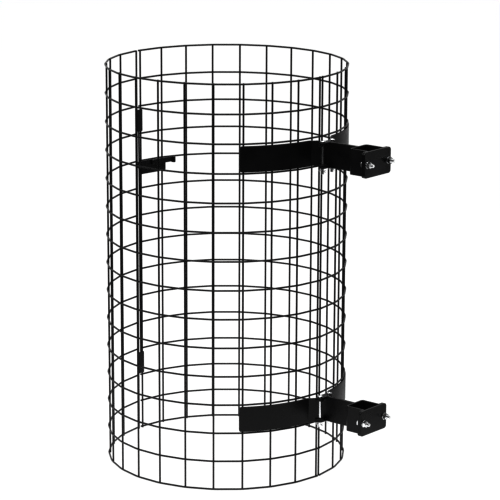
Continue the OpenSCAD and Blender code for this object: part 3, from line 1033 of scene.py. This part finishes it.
def bolt_head(s, y, zc):
    x0, x1 = flange_inner - 4, flange_inner
    loft(s, [hex_ring(y, zc, x0, turned_r * 0.5), hex_ring(y, zc, x0, turned_r),
             hex_ring(y, zc, x0, slope=hex_slope), hex_ring(y, zc, x1 - 0.15),
             hex_ring(y, zc, x1, inset=0.15)])


def bolt_shank(s, y, zc):
    """A plain shank up to the plate, then an M6 thread."""
    n, lead, root_r, crest_r, shank_r = 32, 1.0, 2.45, 2.97, 2.95

    def ring_at(x, radius):
        return [(x, a, b) for a, b in circle(y, zc, radius, n)]

    rings = [ring_at(flange_inner - 0.5, shank_r), ring_at(flange_inner + 4.6, shank_r)]
    for x in np.arange(flange_inner + 5.0, bolt_end + 1e-6, lead / 8):
        ring = []
        for k in range(n):
            f = ((x / lead) - k / n) % 1.0
            flank = 1 - abs(2 * f - 1)
            flank = min(max((flank - 0.12) / 0.76, 0), 1)
            r = min(root_r + (crest_r - root_r) * flank, 2.3 + (bolt_end - x) * 1.0)
            a = 2 * PI * k / n
            ring.append((x, y + r * math.cos(a), zc + r * math.sin(a)))
        rings.append(ring)
    rings.append(ring_at(bolt_end, 2.0))
    loft(s, rings)


def bolts(zc):
    s = Shape()
    for y in (-bolt_y, bolt_y):
        bolt_head(s, y, zc)
        bolt_shank(s, y, zc)
    return s


def clamp_plate(zc):
    w, h = clamp_half_w, bracket_half_h
    return plate(Shape(), rounded([(-w, -h), (w, -h), (w, h), (-w, h)], 5, 8),
                 [circle(y, 0, bolt_hole_r) for y in (-bolt_y, bolt_y)], clamp_t, 0.55,
                 lambda u, v, w: (flange_x + clamp_t / 2 + w, u, zc + v), hole_edge=0.3)


def washers(zc):
    s = Shape()
    for y in (-bolt_y, bolt_y):
        lathe(s, shifted(WASHER, clamp_x), (0, y, zc), ALONG_X, 40, loop=True)
    return s


def nuts(zc):
    bore_r = 3.06
    x0 = clamp_x + washer_t
    x1 = x0 + 5
    s = Shape()
    for y in (-bolt_y, bolt_y):
        loft(s, [hex_ring(y, zc, x0 + 0.45, bore_r), hex_ring(y, zc, x0, bore_r + 0.5),
                 hex_ring(y, zc, x0, turned_r), hex_ring(y, zc, x0, slope=hex_slope),
                 hex_ring(y, zc, x1, slope=-hex_slope), hex_ring(y, zc, x1, turned_r),
                 hex_ring(y, zc, x1, bore_r + 0.5), hex_ring(y, zc, x1 - 0.45, bore_r)],
             loop=True)
    return s


for which, zc in bracket_z.items():
    clamp = which + "_clamp"
    piece("arm_plate_" + which, arm(zc), which + "_arm", "brackets", STEEL)
    piece("lug_pair_" + which, lugs(zc), which + "_lugs", "brackets", STEEL)
    piece("stake_saddle_" + which, saddle(zc), which + "_saddle", "brackets", STEEL)
    piece("pivot_pins_" + which, pins(zc), which + "_hinge_pins", "brackets", ZINC)
    piece("cotter_pins_" + which, cotters(zc), which + "_split_pins", "brackets", ZINC,
          weighted=False)
    piece("hex_bolts_" + which, bolts(zc), clamp + "_bolts", "brackets", ZINC)
    piece("clamp_face_" + which, clamp_plate(zc), clamp + "_plate", clamp, STEEL)
    piece("flat_washers_" + which, washers(zc), clamp + "_washers", clamp, ZINC)
    piece("hex_nuts_" + which, nuts(zc), clamp + "_nuts", clamp, ZINC)


# ------------------------------------------------------------------ studio (metres)

def flat_distance(tree, coord, centre):
    """Distance from centre in the floor's plane."""
    away = vector_math(tree, "SUBTRACT", {0: coord, 1: centre}, 0)
    level = vector_math(tree, "MULTIPLY", {0: away, 1: (1, 1, 0)}, 0)
    return vector_math(tree, "LENGTH", {0: level}, "Value")


def floor_material():
    """White to the camera. Reflections see a bright sheet round the foot and at the back,
    a bright card to one side and a dark room in front."""
    material, tree = new_material("studio_floor")
    coord = coordinates(tree, "Object")
    near = ramp(tree, flat_distance(tree, coord, centre=(0.2, -0.35, 0)),
                span=(0.6, 1.2), to=(1.5, 0.16))
    # distance away from the camera
    back = vector_math(tree, "DOT_PRODUCT", {0: coord, 1: (-0.649, 0.761, 0.0)}, "Value")
    far = ramp(tree, back, span=(0.6, 2.4), to=(0.05, 1.0))
    card = ramp(tree, flat_distance(tree, coord, centre=(1.9, 1.9, 0)),
                span=(0.4, 1.3), to=(1.8, 0.0))
    brightest = math_of(tree, "MAXIMUM", math_of(tree, "MAXIMUM", near, far), card)

    soft = add_node(tree, "ShaderNodeBsdfDiffuse", {"Color": (0.10, 0.10, 0.10, 1)}).outputs[0]
    white = emission(tree, strength=0.93)
    seen = add_node(tree, "ShaderNodeAddShader", {0: white, 1: soft}).outputs[0]
    surface = camera_switch(tree, emission(tree, brightest), seen)
    add_node(tree, "ShaderNodeOutputMaterial", {"Surface": surface})
    return material


def studio_floor(size, z, cells):
    row = cells + 1
    verts = [(size * (i / cells - 0.5), size * (j / cells - 0.5), z)
             for j in range(row) for i in range(row)]
    faces = [(j * row + i, j * row + i + 1, (j + 1) * row + i + 1, (j + 1) * row + i)
             for j in range(cells) for i in range(cells)]
    material = floor_material()
    mesh = bpy.data.meshes.new("studio_floor")
    mesh.from_pydata(verts, [], faces)
    mesh.materials.append(material)
    ob = bpy.data.objects.new("studio_floor", mesh)
    bpy.context.scene.collection.objects.link(ob)


def studio_world():
    """White to the camera; as light, bright behind the cage and a little overhead."""
    world = bpy.data.worlds.new("studio")
    bpy.context.scene.world = world
    world.use_nodes = True
    tree = world.node_tree
    tree.nodes.clear()
    coord = coordinates(tree, "Generated")
    to_camera = vector_math(tree, "DOT_PRODUCT", {0: coord, 1: (0.649, -0.761, 0.0)}, "Value")
    side = ramp(tree, to_camera, span=(-0.45, 0.1), to=(0.95, 0.12))
    height = add_node(tree, "ShaderNodeSeparateXYZ", {0: coord}).outputs["Z"]
    over = ramp(tree, height, span=(0.25, 0.95), to=(0.0, 0.4))

    def background(strength):
        return add_node(tree, "ShaderNodeBackground",
                        {"Color": (1, 1, 1, 1), "Strength": strength}).outputs[0]

    lighting = background(math_of(tree, "ADD", side, over))
    surface = camera_switch(tree, lighting, background(1.0))
    add_node(tree, "ShaderNodeOutputWorld", {"Surface": surface})


def area_light(name, location, target, size, size_y, watts):
    light = bpy.data.lights.new(name, "AREA")
    light.shape = "RECTANGLE"
    light.size, light.size_y, light.energy = size, size_y, watts
    ob = bpy.data.objects.new(name, light)
    ob.location = location
    ob.rotation_mode = "QUATERNION"
    ob.rotation_quaternion = (Vector(target) - Vector(location)).to_track_quat("-Z", "Y")
    bpy.context.scene.collection.objects.link(ob)


def studio_camera():
    camera = bpy.data.cameras.new("camera")
    camera.sensor_width = 36.0
    camera.lens = 175.195
    camera.clip_start, camera.clip_end = 0.05, 200.0
    ob = bpy.data.objects.new("camera", camera)
    bpy.context.scene.collection.objects.link(ob)
    # columns: the camera's right, its up and the way back from its view
    turn = Matrix(((0.766633, -0.155756, 0.622908),
                   (0.642075, 0.180442, -0.745104),
                   (0.003656, 0.971175, 0.238339)))
    place = Matrix.Translation((2.69122499, -3.15526687, 1.38870686))
    ob.matrix_world = place @ turn.to_4x4()
    bpy.context.scene.camera = ob


studio_floor(size=80.0, z=-0.0003, cells=4)
studio_world()
area_light("softbox_top", location=(0.3, -0.2, 2.6), target=(0, 0, 0.4),
           size=2.2, size_y=1.6, watts=60)
area_light("softbox_left", location=(-1.6, -2.4, 2.0), target=(0, 0, 0.4),
           size=1.2, size_y=1.2, watts=22)
studio_camera()

view_settings = bpy.context.scene.view_settings
view_settings.view_transform = "Standard"
view_settings.look = "None"
view_settings.exposure = 0.0
view_settings.gamma = 0.5
